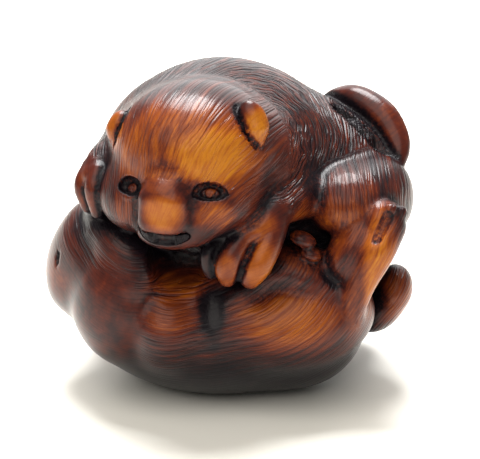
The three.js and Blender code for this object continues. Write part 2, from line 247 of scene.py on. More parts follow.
def eye_on(head, at, turn, width):
    """An almond socket, a round boss in it, a raised lower lid and a ring cut round the pupil."""
    socket = sweep(((-width, 0.1, -0.3, 0.1), (-width / 2, -0.3, 0.05, 0.82), (width / 3, -0.3, 0.08, 0.88),
                    (width, 0.1, -0.1, 0.1)))
    lid = sweep(((-width, 0.1, -0.5, 0.1), (-0.3, 0.02, -1.12, 0.2), (width * 0.8, 0.1, -0.82, 0.1)))
    ball = lobe((-0.05, 0.72, -0.06), (width * 0.66, 0.85, 0.76))
    pupil = ring((-0.05, -0.06, -0.06), (90, 0, 0), width * 0.36, 0.14)

    def seated(form):
        return face(placed(form, at, turn))
    head = carve(0.15, join(0.35, head, seated(lid)), seated(socket))
    return carve(0.08, join(0.1, head, seated(ball)), seated(pupil))


def muzzle():
    return face(block((0.1, -8.15, -2.4), (2.65, 3, 2.3), 1.25, (-6, 0, 0)))


def head_on(body):
    head = join(2.6, body, skull())
    left_cheek = face(lobe((-4.6, -4.9, -2.5), (4.2, 4.2, 3.7)))
    right_cheek = face(lobe((4.1, -5.1, -2), (4.1, 4.3, 3.3), (0, -10, 0)))
    head = join(1.8, head, left_cheek, right_cheek)
    right_lip = face(lobe((3.2, -7.5, -3.5), (2.5, 2.5, 2.2)))
    head = join(0.9, head, face(lobe((0.2, -7.2, -5), (3.9, 3.6, 1.75))), right_lip, muzzle())
    head = join(1.4, head, face(lobe((0.1, -8.9, 0.1), (2, 1.9, 2.4), (-22, 0, 0))))
    head = carve(0.3, head, mouth_groove())
    head = carve(1.2, head, face(lobe((0.1, -10.5, 2.1), (2.4, 0.9, 0.7))))
    head = eye_on(head, LEFT_EYE_AT, (-30, 0, -18), 1.25)
    return eye_on(head, RIGHT_EYE_AT, (-26, 0, 15), 1.75)


def ears():
    """Drop ears: each is a leaf that ends in a point."""
    right = join(0.8, lobe((7.15, -2.6, 6.3), (1.5, 1.25, 2.2), (0, -24, 0)),
                 limb((7.7, -3, 5.2), (8.25, -3.2, 4.0), 1.1, 0.3))
    left = join(0.8, lobe((-7.4, -3.6, 4.5), (1.2, 1.3, 1.8), (0, 20, 0)),
                limb((-7.6, -3.8, 3.9), (-7.9, -3.9, 2.9), 1, 0.3))
    return face(join(0.3, right, left))


def ear_creases():
    right = sweep(((5.5, -2.3, 8.2, 0.2), (5.9, -2.9, 6.9, 0.5), (6.7, -3.5, 5.3, 0.5),
                   (7.7, -3.6, 3.9, 0.2)))
    left = sweep(((-6.3, -3.5, 6.2, 0.2), (-6.5, -4.5, 5, 0.45), (-6.8, -5.1, 3.8, 0.45),
                  (-7.3, -5.1, 2.8, 0.2)))
    return face(join(0.3, right, left))


def tail():
    return sweep(((10.9, 10, 28.8, 1), (12, 7.6, 29.9, 1.3), (13.5, 5.5, 30.5, 1.6),
                  (15.1, 4.2, 30.1, 1.75), (16.8, 2.7, 29.1, 1.75), (18, 1.2, 27.4, 1.55),
                  (18.4, 0, 26.2, 1.2), (18.4, -1, 25.1, 0.7)))


def tail_gap():
    return sweep(((11.6, 2, 30.1, 0.4), (13.9, 0.4, 28.8, 0.85), (16.2, -1.2, 26.9, 0.9),
                  (18, -2.2, 24.8, 0.3)))


def right_arm():
    wrist = sweep(((7.2, -7.5, 23.4, 2.6), (5.4, -11.2, 23.4, 2.1), (3.9, -13.3, 22.4, 1.75)))
    return join(0.8, wrist, lobe((2.3, -13.8, 21.4), (2.5, 1.8, 1.5), (0, -22, 0)))


def right_toes():
    return join(0.2, sweep(((4.6, -13.2, 22.2, 1.6), (4, -14.6, 20.2, 1.45), (3, -15.4, 18.2, 1.4),
                            (2.2, -15.2, 16.8, 1.15))),
                sweep(((1.6, -14.2, 21.2, 1.3), (0.5, -15.3, 19.7, 1.25), (-0.2, -15.5, 18, 1.3),
                       (-0.2, -15.1, 16.8, 1))),
                sweep(((-0.4, -12.8, 20.6, 0.8), (-2, -14, 19.4, 0.85), (-2.2, -14.1, 17.9, 0.85),
                       (-1.9, -13.9, 16.9, 0.7))))


def left_arm():
    return sweep(((-12.2, -2, 25.9, 2.6), (-13.3, -5.5, 26.3, 2), (-14.1, -7.3, 25.4, 1.6)))


def left_toes():
    return join(0.2, sweep(((-14.8, -6.2, 26, 0.95), (-15.4, -7.2, 24.3, 1.1), (-15, -7.4, 22.2, 0.8))),
                sweep(((-13.8, -8, 26.1, 1), (-14.1, -9, 24.4, 1.15), (-13.9, -8.8, 21.9, 0.75))),
                sweep(((-13.1, -8.4, 25.7, 0.8), (-13.2, -9.2, 24.4, 0.85), (-13.1, -9.2, 22.7, 0.6))))


def near_hind_toes():
    return join(0.2, lobe((7.7, -10.7, 19.5), (1.5, 1.3, 0.8), (0, 22, 0)),
                lobe((8.6, -10.8, 17.9), (1.2, 1.2, 0.7), (0, 22, 0)))


def paw_rests():
    """Wood left standing under the left forepaw and behind the right one's toes."""
    return join(SEAM, lobe((-13.3, -5.2, 21.6), (2.4, 3, 2.6)), lobe((1, -13.1, 19), (3, 1.7, 2.3)))


def far_hind_foot():
    def toe(back, drop):
        return sweep(((4.2 - back, 14.8, 12.4 - drop, 0.95), (2 - back, 15.4, 12.2 - drop, 1.05),
                      (0.4 - back, 15.2, 11.8 - drop, 0.8)))
    sole = limb((10.5, 13.4, 13.2), (4.5, 14.2, 11.8), 2.4, 2)
    return join(0.5, sole, join(0.2, toe(0, -0.9), toe(-0.2, 0.9), toe(0.5, 2.6)))


# ---- the lower puppy ----

def lower_body():
    belly = lobe((-1, 0.3, 9), (16.2, 14.6, 9.9))
    left_bulge = join(1.5, lobe((-11.6, -6.2, 11.2), (5.6, 7.4, 6.8), (0, 0, 12)),
                      lobe((-12.2, -6.4, 15), (3.8, 6.4, 5.4), (0, 14, 14)),
                      sweep(((-13.4, -7.6, 19.4, 1.6), (-11.4, -9.6, 18.4, 2), (-9.9, -10.4, 17, 1.9),
                             (-9.8, -10.8, 15, 1.7))))
    right_bulge = lobe((5.9, -6.8, 9.7), (9.8, 8.8, 6), (0, -6, -8))
    middle = lobe((-6.4, -8.6, 9.4), (4.6, 6.6, 5.3))
    loin = lobe((6.6, -2.4, 7.2), (8.2, 9.4, 7))
    left_flank = join(2.5, lobe((-16.9, 0, 12.2), (3.4, 6, 4.4), (0, 8, 0)),
                      lobe((-15.1, -1.5, 16.4), (3.8, 6.5, 5), (0, 30, 0)))
    far_thigh = lobe((12.2, 8.6, 8.2), (5.2, 5.4, 5), (0, -20, 0))
    body = join(0.9, join(1.6, belly, left_bulge, loin), right_bulge, middle)
    body = join(1.2, join(2, body, left_flank), far_thigh, crest())
    cleft = sweep(((-1.2, -12.4, 16, 1.9), (-1.9, -13.2, 14.2, 1.5), (-1.8, -14.7, 11.8, 1.2),
                   (-1.6, -15.4, 9.8, 0.8)))
    flank_lip = sweep(((-16.2, -5.6, 18.4, 0.5), (-16.6, -5.9, 16.6, 0.55), (-17, -5.8, 15.2, 0.5)))
    flank_notch = sweep(((-17.2, -4.9, 17.4, 0.35), (-17.9, -5, 15.9, 0.5), (-17.8, -5, 15.1, 0.3)))
    body = join(0.6, carve(0.8, body, cleft, chest_hollow()), flank_lip)
    return carve(0.3, body, flank_notch)


def crest():
    """Ridge of fur over the right bulge, and the slope that climbs behind it."""
    ridge = sweep(((1.4, -12, 13.8, 0.8), (3.5, -11.5, 15.2, 1.1), (5.8, -11.3, 15.8, 1.2),
                   (8.4, -11.6, 15.1, 1.1), (10.8, -11.8, 13.9, 0.8)))
    return join(1.5, ridge, lobe((6.4, -8.9, 16), (4.8, 3, 2.4)))


def chest_hollow():
    return lobe((-5, -11, 17.5), (3.5, 4.6, 2.9))


def lower_head():
    """The lower puppy's head rests at the back, at the left."""
    return join(1.8, lobe((-11.4, 9.2, 12.6), (6.6, 6.2, 5.8)),
                lobe((-6.6, 12.6, 9.6), (3.4, 2.8, 2.6), (0, 0, 35)))


def lower_ear():
    return lobe((-14.2, 12.9, 14.6), (2.6, 1.1, 1.5), (0, 35, 35))


def raised_leg():
    """Hind leg raised at the right, with its foot against the haunch above."""
    shin = sweep(((10.2, -10.2, 7.8, 1.7), (12.2, -11.3, 11.6, 1.9), (13.8, -11.8, 15.1, 1.65),
                  (15.5, -12, 18.5, 1.8), (16.8, -11, 20.8, 1.7)))
    thigh = lobe((13.2, -9.7, 18), (2.7, 3, 4.4), (0, 28, 0))
    foot = join(0.3, lobe((16.2, -10.4, 21.6), (2.2, 1.9, 1.9), (0, -25, 0)),
                lobe((16.8, -11.5, 23), (0.75, 0.7, 0.7)), lobe((17.9, -11, 22.5), (0.7, 0.8, 0.75)))
    pad_slot = limb((15.3, -13.05, 20.2), (16.45, -12.2, 22.4), 0.45, 0.52)
    return carve(0.3, join(0.7, shin, thigh, foot), pad_slot)


def rear_foot():
    return join(1, lobe((17.9, -1, 10.4), (2.2, 3.4, 2.9), (0, 20, 0)),
                lobe((16.2, 0, 8.1), (3.2, 3.8, 2.5), (0, -35, 0)))


# ---- hollows between the two ----

def hollow_under_chin():
    return join(1.5, lobe((-4.4, -14.6, 17.6), (4.2, 6.9, 2.6), (0, 4, 0)),
                lobe((-4.4, -17.5, 17.4), (3.8, 5, 2.4), (0, 4, 0)))


def hollow_before_haunch():
    return lobe((8.2, -14.3, 21), (4.6, 3.5, 4.9))


def cord_tunnel():
    """A ring half sunk in the back. It dents the clay where it comes out, at two mouths side by side."""
    spin = turned((CORD_RING_TILT, 0, 0))
    mouth = np.array(CORD_RING_AT) + spin @ np.array((CORD_RING_RADIUS, 0, 0))
    tunnel = ring(CORD_RING_AT, (CORD_RING_TILT, 0, 0), CORD_RING_RADIUS, CORD_BORE_RADIUS)
    return join(0.3, tunnel, lobe(mouth, (CORD_MOUTH_RADIUS,) * 3))


def carving():
    whole = join(SEAM, head_on(upper_body()), lower_body(), lower_head())
    whole = carve(1, whole, hollow_before_haunch())
    whole = carve(SEAM, whole, hollow_under_chin(), tail_gap())
    whole = join(1, whole, right_arm(), left_arm(), paw_rests())
    whole = carve(SEAM, whole, ear_creases())
    whole = join(0.9, whole, raised_leg())
    whole = join(SEAM, whole, tail(), ears(), lower_ear(), rear_foot(), far_hind_foot())
    whole = join(SEAM, whole, right_toes(), left_toes(), near_hind_toes())
    return carve(0.2, whole, cord_tunnel())


# ---- modelling ----

def deselect_all():
    for each in bpy.context.selected_objects:
        each.select_set(False)


def rough_out(form):
    """One ball of clay for each swelling, then all of them fused."""
    deselect_all()
    balls = []
    for middle, half, spin in form.lumps:
        bpy.ops.mesh.primitive_uv_sphere_add(segments=20, ring_count=12, radius=1)
        ball = bpy.context.object
        corners = np.empty(len(ball.data.vertices) * 3)
        ball.data.vertices.foreach_get("co", corners)
        placed_corners = (corners.reshape(-1, 3) * half) @ np.array(spin).T + middle
        ball.data.vertices.foreach_set("co", placed_corners.ravel())
        balls.append(ball)
    for ball in balls:
        ball.select_set(True)
    bpy.context.view_layer.objects.active = balls[0]
    bpy.ops.object.join()
    clay = bpy.context.object
    fuse = clay.modifiers.new("fuse", "REMESH")
    fuse.mode = "VOXEL"
    fuse.voxel_size = VOXEL
    bpy.ops.object.modifier_apply(modifier=fuse.name)
    return clay


def corners_of(mesh):
    flat = np.empty(len(mesh.vertices) * 3)
    mesh.vertices.foreach_get("co", flat)
    return flat.reshape(-1, 3)


def slope_of(form, points, step=0.05):
    here = form(points)
    slope = np.stack([form(points + step * axis) - here for axis in np.eye(3)], axis=1) / step
    return here, slope


def settle(form, points, rounds=6):
    """Moves points onto the carved surface; it can dent or swell the clay but not pierce it."""
    points = points.copy()
    loose = np.arange(len(points))
    for _ in range(rounds):
        here, slope = slope_of(form, points[loose])
        steep = np.maximum((slope ** 2).sum(axis=1), 0.3)
        move = np.clip(here / steep, -0.35, 0.35)
        points[loose] -= slope * move[:, None]
        loose = loose[np.abs(here) > 0.01]
    return points


# ---- which puppy part a point lies on, and which way its hair runs ----

VIEW_TILT = math.radians(18)
INTO_VIEW = np.array((0, math.cos(VIEW_TILT), -math.sin(VIEW_TILT)))
NECK_SWIRL = np.array((2.6, -12, 31))
BELLY_SWIRL = np.array((-6.5, -14, 31))
FACE_FAN = np.array((-4.5, 0, -14))
LEG_RUN = np.array((0.45, 0, 0.89))

TRUNK, HEAD, HAUNCH, LOWER, LEG, SMOOTH = range(6)


def zones_of(points):
    """The part nearest each point, and 0 on its border rising to 1 inside it."""
    parts = {
        TRUNK: [upper_body(), right_arm(), left_arm(), far_hind_foot()],
        HEAD: [skull(), face(lobe((0.1, -4.9, -2.5), (9, 4.4, 3.9)))],
        HAUNCH: [near_haunch()],
        LOWER: [lower_body(), lower_head(), lower_ear(), rear_foot()],
        LEG: [raised_leg()],
        SMOOTH: [tail(), ears(), muzzle(), right_toes(), left_toes(), near_hind_toes()],
    }
    lean = {TRUNK: 0.3, HEAD: 0, HAUNCH: -0.3, LOWER: 0, LEG: -0.2, SMOOTH: -0.35}
    nearest = np.stack([np.min([part(points) for part in parts[zone]], axis=0) + lean[zone]
                        for zone in sorted(parts)])
    order = np.sort(nearest, axis=0)
    return nearest.argmin(axis=0), np.clip((order[1] - order[0]) / 0.5, 0, 1)


def swirl(points, centre):
    """Distance out from a line of sight through the centre, and distance round it."""
    offset = points - centre
    offset = offset - np.outer(offset @ INTO_VIEW, INTO_VIEW)
    out = np.linalg.norm(offset, axis=1)
    up = np.cross(INTO_VIEW, (1, 0, 0))
    angle = np.arctan2(offset @ -up, offset[:, 0])
    return out, angle * 9


SIDE_EASE = 2.2
SIDE_LET_OUT = 0.85


def wrapped(across, points, front):
    """Lets the distance out over the sides and back, so that hairs keep their spacing there."""
    depth = points @ INTO_VIEW + 4
    behind = np.logaddexp(0, depth / SIDE_EASE) * SIDE_EASE
    return across + front * depth - (SIDE_LET_OUT + front) * behind


def hair_on(points, zones):
    """Two coordinates for each point: across the hairs and along them, in millimetres."""
    across, along = swirl(points, NECK_SWIRL)
    belly_across, belly_along = swirl(points, BELLY_SWIRL)
    across = np.where(zones == LOWER, wrapped(belly_across, points, 0.45), wrapped(across, points, 0.1))
    along = np.where(zones == LOWER, belly_along, along)
    in_head = (points - np.array(HEAD_AT)) @ turned(HEAD_TURN) - FACE_FAN
    fan = np.isin(zones, (HEAD, SMOOTH))
    across = np.where(fan, np.arctan2(in_head[:, 0], in_head[:, 2]) * 18, across)
    along = np.where(fan, np.hypot(in_head[:, 0], in_head[:, 2]), along)
    across = np.where(zones == HAUNCH, wrapped(points[:, 0], points, 0.1), across)
    along = np.where(zones == HAUNCH, points[:, 2], along)
    across = np.where(zones == LEG, points @ np.array((LEG_RUN[2], 0, -LEG_RUN[0])), across)
    along = np.where(zones == LEG, points @ LEG_RUN, along)
    return across, along


def hair_left(points):
    """On the lower puppy the hair is cut mostly at the right and on the upper slopes."""
    right = np.clip((points[:, 0] + 10.5) / 3.5, 0.15, 1)
    upper = np.clip((points[:, 2] - 15.5) / 2, 0, 0.6)
    low = np.clip((points[:, 2] - 3) / 4, 0.3, 1)
    return np.maximum(right * low, upper)


def stippled(points):
    """1 where the ground is pricked all over instead of cut with hair."""
    return np.max([faded(points, middle, half) for middle, half in STIPPLED], axis=0)


FUR_DEPTH = {TRUNK: 1.0, HEAD: 0.35, HAUNCH: 0.35, LOWER: 0.33, LEG: 0.25, SMOOTH: 0.06}

# Where handling has worn the stain off, as an ellipsoid and how golden its middle is. The recess before the
# haunch and the slope under the chin are also lightened as painted light, where the haunch and the head
# shade them.
WORN_AND_PAINTED_LIGHT = [
    ((-2.0, -14, 29.8), (5.8, 6, 4.0), 1.0),
    ((-8.3, -13, 29.6), (4.2, 6, 4.6), 0.66),
    ((-4.8, -13.5, 33.0), (6.5, 6, 2.4), 0.66),
    ((-6.6, -17.6, 24.6), (2.5, 3, 2.4), 0.88),
    ((-6.8, -16.7, 27.8), (2.2, 2.5, 1.8), 0.78),
    ((-1.6, -16, 24.4), (2.6, 4, 1.8), 0.72),
    ((1.6, -15, 26.4), (2.2, 4, 2.4), 0.5),
    ((-10.5, -13, 24.0), (1.8, 4, 2.2), 0.55),
    ((2.9, -13, 32.4), (1.7, 3, 2.4), 0.95),
    ((-11.8, -9, 30.9), (1.6, 4, 2.4), 0.8),
    ((3.0, -15.4, 18.6), (2.4, 3, 3.6), 0.82),
    ((-0.3, -15.8, 18.0), (1.5, 3, 2.6), 0.7),
    ((2.6, -14, 22.4), (2.8, 3, 1.6), 0.74),
    ((-15.0, -8, 24.0), (1.5, 4, 3.4), 0.5),
    ((11.6, -10, 21.4), (3.6, 5, 3.4), 0.62),
    ((12.4, -9, 24.4), (3.6, 4, 2.2), 0.45),
    ((15.6, -12, 16.6), (2.2, 5, 8.0), 0.88),
    ((13.2, -12, 13.0), (2.0, 5, 4.6), 0.55),
    ((6.2, -15, 12.0), (6.6, 6, 3.4), 0.76),
    ((-6.0, -14.5, 12.4), (3.8, 5, 2.8), 0.58),
    ((-12.4, -10, 14.6), (2.8, 6, 5.0), 0.36),
    ((-18.6, -3, 13.4), (2.4, 6, 2.6), 0.5),
    ((5.8, -10, 27.4), (2.6, 5, 5.0), 0.42),
    # Partly painted light: the recess before the haunch is made lighter to offset the shade in it.
    ((8.4, -11, 20.0), (4.2, 3, 4.4), 0.84),
    # Painted light: the slope under the chin is lightened beyond its wear where the head shades it.
    ((-4.6, -12, 14.8), (4.4, 4, 1.5), 0.72),
    ((8.2, -10.5, 18.8), (2.2, 3, 2.2), 0.5),
    ((18.6, -2, 10), (2.8, 5, 3.4), 0.66),
    ((17.5, 1, 28.6), (3.4, 5, 3.4), 0.46),
    ((-10.5, 12.5, 15.6), (5.0, 5, 3.8), 0.5),
    ((12.8, 13.5, 19.0), (5.5, 5, 5.0), 0.5),
    ((3.2, 15.5, 12.4), (4.0, 4, 3.0), 0.55),
    ((-2.0, 10, 32.0), (9.0, 8, 5.0), 0.36),
    ((13.8, 12.0, 7.6), (4.5, 5, 3.5), 0.45),
]
BARE_STAIN = 0.3

# How buried pricked ground counts as (this sets its painted crease shade), how far it is eased to that, and
# how deep hair clumps are cut.
PRICKED_DEPTH = 0.38
PRICKED_EASE = 0.8
PRICKED_HAIR_LOST = 0.85
COMBED_FUR = 0.9
CLUMP_DEPTH = 0.05

# Darker patches, the same way: how much darker the middle is. The first makes the piece darker towards the
# bottom, and the second is painted shade in the hollow under the chin. The band between the eyes and the
# patch on the knob are stain; the others darken the cleft, the ground under the left forepaw and a few more
# spots.
SOILED_AND_SHADED = [
    # Darker towards the bottom.
    ((0, -7, 2.0), (20, 14, 6.5), 0.34),
    # Painted shade in the hollow under the chin.
    ((-4.5, -11, 19.0), (4.4, 5, 2.4), 0.4),
    ((-1.8, -13.5, 13.0), (1.5, 3, 4.6), 0.34),
    ((-13.5, -6, 20.0), (3.5, 4, 3.0), 0.25),
    ((-5.7, -17, 27.4), (3.6, 2.6, 0.7), 0.2),
    ((-9.6, -11, 17.4), (2.0, 3, 2.4), 0.12),
    ((8.1, -12.4, 19.4), (1.8, 1.8, 2.2), 0.34),
    ((13.5, -4, 25.2), (4.4, 5, 2.4), 0.12),
    ((-6.0, 2, 34.0), (9.0, 9, 4.0), 0.06),
]

# Ground that is pricked all over: the cleft, the recess before the haunch, and the haunch's edge.
STIPPLED = [
    ((-1.8, -13.5, 13.2), (1.3, 3, 3.6)),
    ((-0.6, -12.5, 15.6), (2.2, 3, 1.4)),
    ((8.4, -11, 20.2), (3.6, 3, 3.6)),
    ((8.6, -8.5, 24.4), (1.3, 4, 3.4)),
]

# The slope under the chin, where the lower puppy's hair is cut deep.
COMBED_SLOPE = ((-5.0, -12.5, 14.9), (4.6, 4, 1.5))


def faded(points, middle, half):
    """1 in the middle of an ellipsoid, falling smoothly to 0 just outside it."""
    out = np.linalg.norm((points - np.array(middle)) / np.array(half), axis=1)
    fade = np.clip((1.25 - out) / 0.75, 0, 1)
    return fade * fade * (3 - 2 * fade)


# Wear, with painted light in the recess and on the slope under the chin, painted shade in the hollow under
# the chin, and darker towards the bottom.
def worn_and_painted_light_at(points):
    wear_and_painted_light = np.full(len(points), BARE_STAIN)
    for middle, half, most in WORN_AND_PAINTED_LIGHT:
        wear_and_painted_light = np.maximum(wear_and_painted_light, BARE_STAIN + (most - BARE_STAIN) * faded(points, middle, half))
    for middle, half, darker in SOILED_AND_SHADED:
        wear_and_painted_light -= darker * faded(points, middle, half)
    return wear_and_painted_light


# Crease depth; it darkens the colour in the creases as painted shade, with the stain left there.
def buried(form, points, normals):
    """0 on an open swelling, towards 1 deep in a crease."""
    total = np.zeros(len(points))
    for gap in (0.5, 1.1, 2.2):
        total += np.clip(1 - form(points + normals * gap) / gap, 0, 1.2)
    return total / 3


def pupil_mask(points):
    """1 on the pupil of each eye."""
    in_head = (points - np.array(HEAD_AT)) @ turned(HEAD_TURN)
    out = [np.linalg.norm(in_head - np.array(at), axis=1) for at in (LEFT_EYE_AT, RIGHT_EYE_AT)]
    return np.clip((0.6 - np.min(out, axis=0)) / 0.2, 0, 1)


def patchy(points, across_scale, along_scale=None):
    """Smooth random values for rows of coordinates."""
    scaled = points * np.array((across_scale, along_scale or across_scale, across_scale))
    return np.array([noise.noise(Vector(row)) for row in scaled])


# ---- making the piece ----

FACE_ZONE = ((-6.4, -12.5, -5.9), (6.9, -6.6, 1.6))


def select_faces(clay, chosen):
    """Leaves the piece in edit mode with only these faces selected."""
    deselect_all()
    clay.select_set(True)
    bpy.context.view_layer.objects.active = clay
    bpy.ops.object.mode_set(mode="EDIT")
    bpy.ops.mesh.select_mode(type="FACE")
    bpy.ops.mesh.select_all(action="DESELECT")
    bpy.ops.object.mode_set(mode="OBJECT")
    clay.data.polygons.foreach_set("select", chosen)
    bpy.ops.object.mode_set(mode="EDIT")


def refine_face(clay):
    """Finer faces where the eyes, muzzle and mouth are cut."""
    centres = np.empty(len(clay.data.polygons) * 3)
    clay.data.polygons.foreach_get("center", centres)
    in_head = (centres.reshape(-1, 3) - np.array(HEAD_AT)) @ turned(HEAD_TURN)
    low, high = FACE_ZONE
    select_faces(clay, ((in_head > low) & (in_head < high)).all(axis=1))
    bpy.ops.mesh.subdivide(number_cuts=1)
    bpy.ops.object.mode_set(mode="OBJECT")


def relax(clay, times):
    """Spreads the corners evenly; they are settled onto the surface again afterwards."""
    select_faces(clay, np.ones(len(clay.data.polygons), bool))
    bpy.ops.mesh.vertices_smooth(factor=0.5, repeat=times)
    bpy.ops.object.mode_set(mode="OBJECT")


def settle_piece(clay, form, rounds=6):
    clay.data.vertices.foreach_set("co", settle(form, corners_of(clay.data), rounds).ravel())
    clay.data.update()


def put_attribute(mesh, name, values, kind="FLOAT"):
    layer = mesh.attributes.new(name, kind, "POINT")
    key = "value" if kind == "FLOAT" else "vector"
    layer.data.foreach_set(key, np.asarray(values, float).ravel())


def carve_puppies(material):
    form = carving()
    clay = rough_out(form)
    mesh = clay.data
    settle_piece(clay, form)
    refine_face(clay)
    relax(clay, 2)
    settle_piece(clay, form, 4)
    refine_face(clay)
    relax(clay, 1)
    points = settle(form, corners_of(mesh), 4)
    points[:, 2] = np.maximum(points[:, 2], 0)
    _, slope = slope_of(form, points)
    normals = slope / np.maximum(np.linalg.norm(slope, axis=1), 0.1)[:, None]
    zones, inside = zones_of(points)
    across, along = hair_on(points, zones)
    fur = np.array([FUR_DEPTH[zone] for zone in range(6)])[zones] * inside
    pricked = stippled(points)
    fur *= 1 - PRICKED_HAIR_LOST * pricked
    fur *= np.where(zones == LOWER, hair_left(points), 1)
    # Crease depth, less on the pupils: it darkens the colour as painted shade and stain left in creases.
    depth = buried(form, points, normals) * (1 - 0.8 * pupil_mask(points))
    fur = np.maximum(fur, COMBED_FUR * faded(points, *COMBED_SLOPE))
    depth = depth + (PRICKED_DEPTH - depth) * PRICKED_EASE * pricked
    hair = np.stack((across, along, zones * 7.3), axis=1)
    clumps = patchy(hair, 1 / 0.8, 1 / 4)
    on_foot = points[:, 2] < 0.02
    cut = CLUMP_DEPTH * fur * np.clip(clumps + 0.15, 0, 0.7) * ~on_foot
    points -= normals * cut[:, None]
    mesh.vertices.foreach_set("co", (points * MM).ravel())
    # The wear attribute also carries the painted light and shade of the tables above.
    put_attribute(mesh, "wear_and_painted_light", worn_and_painted_light_at(points))
    put_attribute(mesh, "buried", depth)
    put_attribute(mesh, "fur", fur)
    put_attribute(mesh, "hair", hair, "FLOAT_VECTOR")
    clay.name = "puppies_carved"
    mesh.name = clay.name
    mesh.shade_smooth()
    mesh.update()
    mesh.materials.append(material)
    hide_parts("puppies")
    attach(clay, "root")
    return clay


# ---- material ----

def node_in(tree, kind, inputs=(), **settings):
    """A node with its settings, and its inputs by name: a value, or a socket to link from."""
    made = tree.nodes.new(kind)
    for name, value in settings.items():
        setattr(made, name, value)
    for name, value in dict(inputs).items():
        if isinstance(value, bpy.types.NodeSocket):
            tree.links.new(value, made.inputs[name])
        else:
            made.inputs[name].default_value = value
    return made


def shade_ramp(tree, factor, stops):
    ramp = node_in(tree, "ShaderNodeValToRGB", {"Fac": factor})
    while len(ramp.color_ramp.elements) < len(stops):
        ramp.color_ramp.elements.new(0.5)
    for element, (place, colour) in zip(ramp.color_ramp.elements, stops):
        element.position = place
        element.color = (*colour, 1)
    return ramp.outputs["Color"]


def maths(tree, operation, first, second=0.0, third=0.0, clamp=False):
    return node_in(tree, "ShaderNodeMath", {0: first, 1: second, 2: third},
                   operation=operation, use_clamp=clamp).outputs[0]


def group_of(name, inputs, outputs):
    tree = bpy.data.node_groups.new(name, "ShaderNodeTree")
    for label, kind in inputs:
        tree.interface.new_socket(label, in_out="INPUT", socket_type=kind)
    for label, kind in outputs:
        tree.interface.new_socket(label, in_out="OUTPUT", socket_type=kind)
    return tree, tree.nodes.new("NodeGroupInput").outputs, tree.nodes.new("NodeGroupOutput").inputs


def dashes(tree, across, along, spacing, length):
    """Rows of short cuts with tapered ends: 1 along the middle of a cut, 0 between cuts."""
    row = maths(tree, "DIVIDE", across, spacing)
    row_number = maths(tree, "FLOOR", row)
    chance = node_in(tree, "ShaderNodeTexWhiteNoise", {"W": row_number},
                     noise_dimensions="1D").outputs["Value"]
    run = maths(tree, "ADD", maths(tree, "DIVIDE", along, length), maths(tree, "MULTIPLY", chance, 7))
    pair = node_in(tree, "ShaderNodeCombineXYZ",
                   {"X": row_number, "Y": maths(tree, "FLOOR", run)}).outputs[0]
    luck = node_in(tree, "ShaderNodeTexWhiteNoise", {"Vector": pair},
                   noise_dimensions="2D").outputs["Value"]
    place = maths(tree, "FRACT", run)
    taper = maths(tree, "POWER", maths(tree, "MULTIPLY", maths(
        tree, "MULTIPLY", place, maths(tree, "SUBTRACT", 1, place)), 4), 0.6)
    shift = maths(tree, "MULTIPLY_ADD", maths(tree, "SUBTRACT", luck, 0.5), 0.36, 0.5)
    off = maths(tree, "ABSOLUTE", maths(tree, "SUBTRACT", maths(tree, "FRACT", row), shift))
    width = maths(tree, "MULTIPLY_ADD", taper, 0.3, 0.001)
    cut = maths(tree, "SUBTRACT", 1, maths(tree, "DIVIDE", off, width), clamp=True)
    return maths(tree, "MULTIPLY", cut, maths(tree, "MULTIPLY_ADD", luck, 0.6, 0.4))


def strokes_group():
    """Incised hair: short tapered cuts along the hair, and broader streaks of stain."""
    tree, given, result = group_of(
        "Incised hair", [("Hair", "NodeSocketVector"), ("Fur", "NodeSocketFloat"),
                         ("Place", "NodeSocketVector")],
        [("Lines", "NodeSocketFloat"), ("Streaks", "NodeSocketFloat")])
    slow = node_in(tree, "ShaderNodeVectorMath", {0: given["Hair"], 1: (0.4, 0.22, 1)},
                   operation="MULTIPLY")
    waver = node_in(tree, "ShaderNodeTexNoise", {"Vector": slow.outputs[0], "Scale": 1, "Detail": 1})
    split = node_in(tree, "ShaderNodeSeparateXYZ", {"Vector": given["Hair"]})
    across = maths(tree, "ADD", split.outputs["X"], maths(tree, "MULTIPLY", waver.outputs["Fac"], 1.5))
    long_cuts = dashes(tree, across, split.outputs["Y"], 0.46, 3.4)
    short_cuts = dashes(tree, maths(tree, "ADD", across, 0.17), split.outputs["Y"], 0.31, 1.7)
    cuts = maths(tree, "MAXIMUM", long_cuts, maths(tree, "MULTIPLY", short_cuts, 0.55))
    tree.links.new(cuts, result["Lines"])
    broad = node_in(tree, "ShaderNodeVectorMath", {0: given["Hair"], 1: (2.0, 0.45, 1)},
                    operation="MULTIPLY")
    streaks = node_in(tree, "ShaderNodeTexNoise", {"Vector": broad.outputs[0], "Scale": 1, "Detail": 4,
                                                   "Roughness": 0.65})
    mottle = node_in(tree, "ShaderNodeTexNoise", {"Vector": given["Place"], "Scale": 700, "Detail": 5,
                                                  "Roughness": 0.6})
    combed = node_in(tree, "ShaderNodeMapRange", {"Value": given["Fur"], "From Min": 0.1, "From Max": 0.25})
    soft_mottle = maths(tree, "MULTIPLY_ADD", mottle.outputs["Fac"], 0.6, 0.2)
    blend = node_in(tree, "ShaderNodeMix", {0: combed.outputs["Result"], 2: soft_mottle,
                                            3: streaks.outputs["Fac"]}, data_type="FLOAT")
    tree.links.new(blend.outputs[0], result["Streaks"])
    return tree


STAIN_STOPS = (
    (0.0, (0.005, 0.003, 0.005)),
    (0.2, (0.022, 0.006, 0.006)),
    (0.42, (0.072, 0.012, 0.006)),
    (0.62, (0.16, 0.031, 0.006)),
    (0.82, (0.29, 0.073, 0.006)),
    (1.0, (0.41, 0.14, 0.008)),
)


